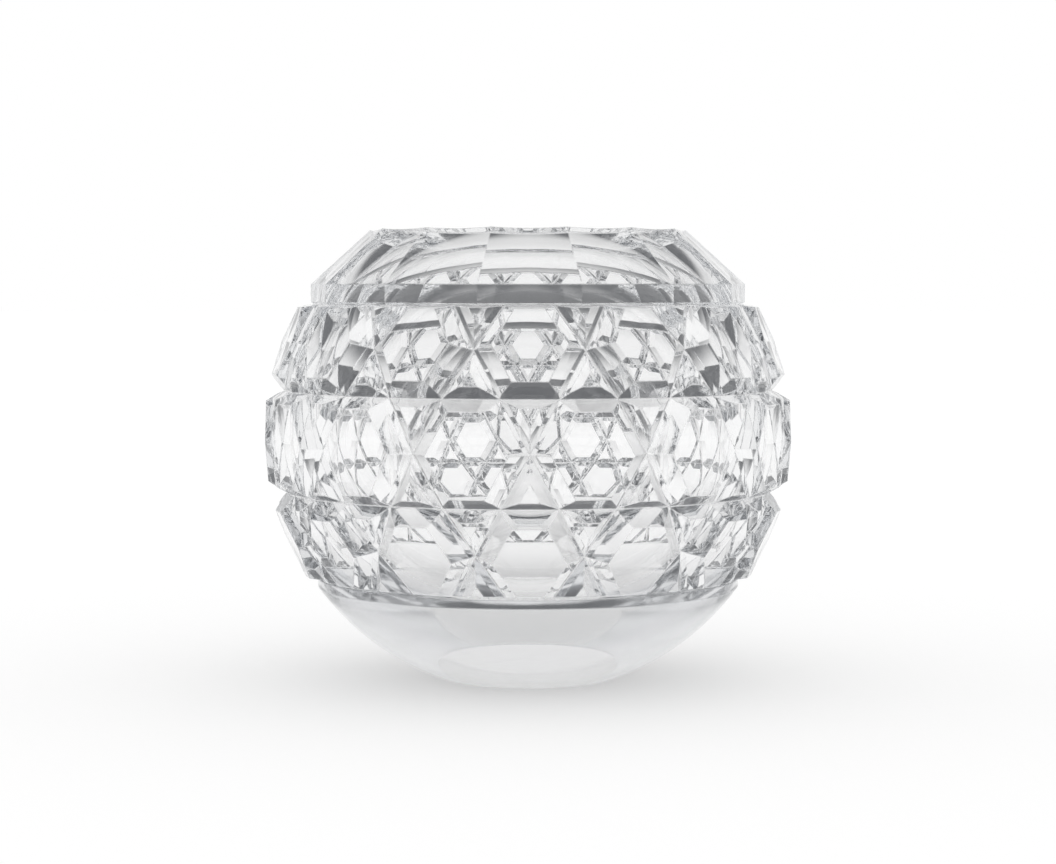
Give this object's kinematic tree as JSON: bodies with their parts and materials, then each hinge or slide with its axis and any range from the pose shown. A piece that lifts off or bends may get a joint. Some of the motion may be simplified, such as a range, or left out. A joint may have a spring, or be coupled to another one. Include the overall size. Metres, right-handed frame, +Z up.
{
  "type": "rose bowl vase",
  "caption": "Ball-shaped vase of clear cut crystal with bands of hexagon and triangle cuts, a faceted collar, a wide round mouth and a plain round base on a small flat foot.",
  "frame": {"origin": "middle of the flat foot, on the surface that the vase stands on", "axes": "+Z up along the vase's axis, -Y towards the front view, where a hexagon of the upper band faces"},
  "size_m": [0.1988, 0.1998, 0.1706],
  "materials": {
    "crystal": "polished clear crystal"
  },
  "bodies": {
    "root": {"plain_base": "crystal", "lower_cut_band": "crystal", "middle_cut_band": "crystal", "upper_cut_band": "crystal", "faceted_collar": "crystal"}
  },
  "joints": []
}
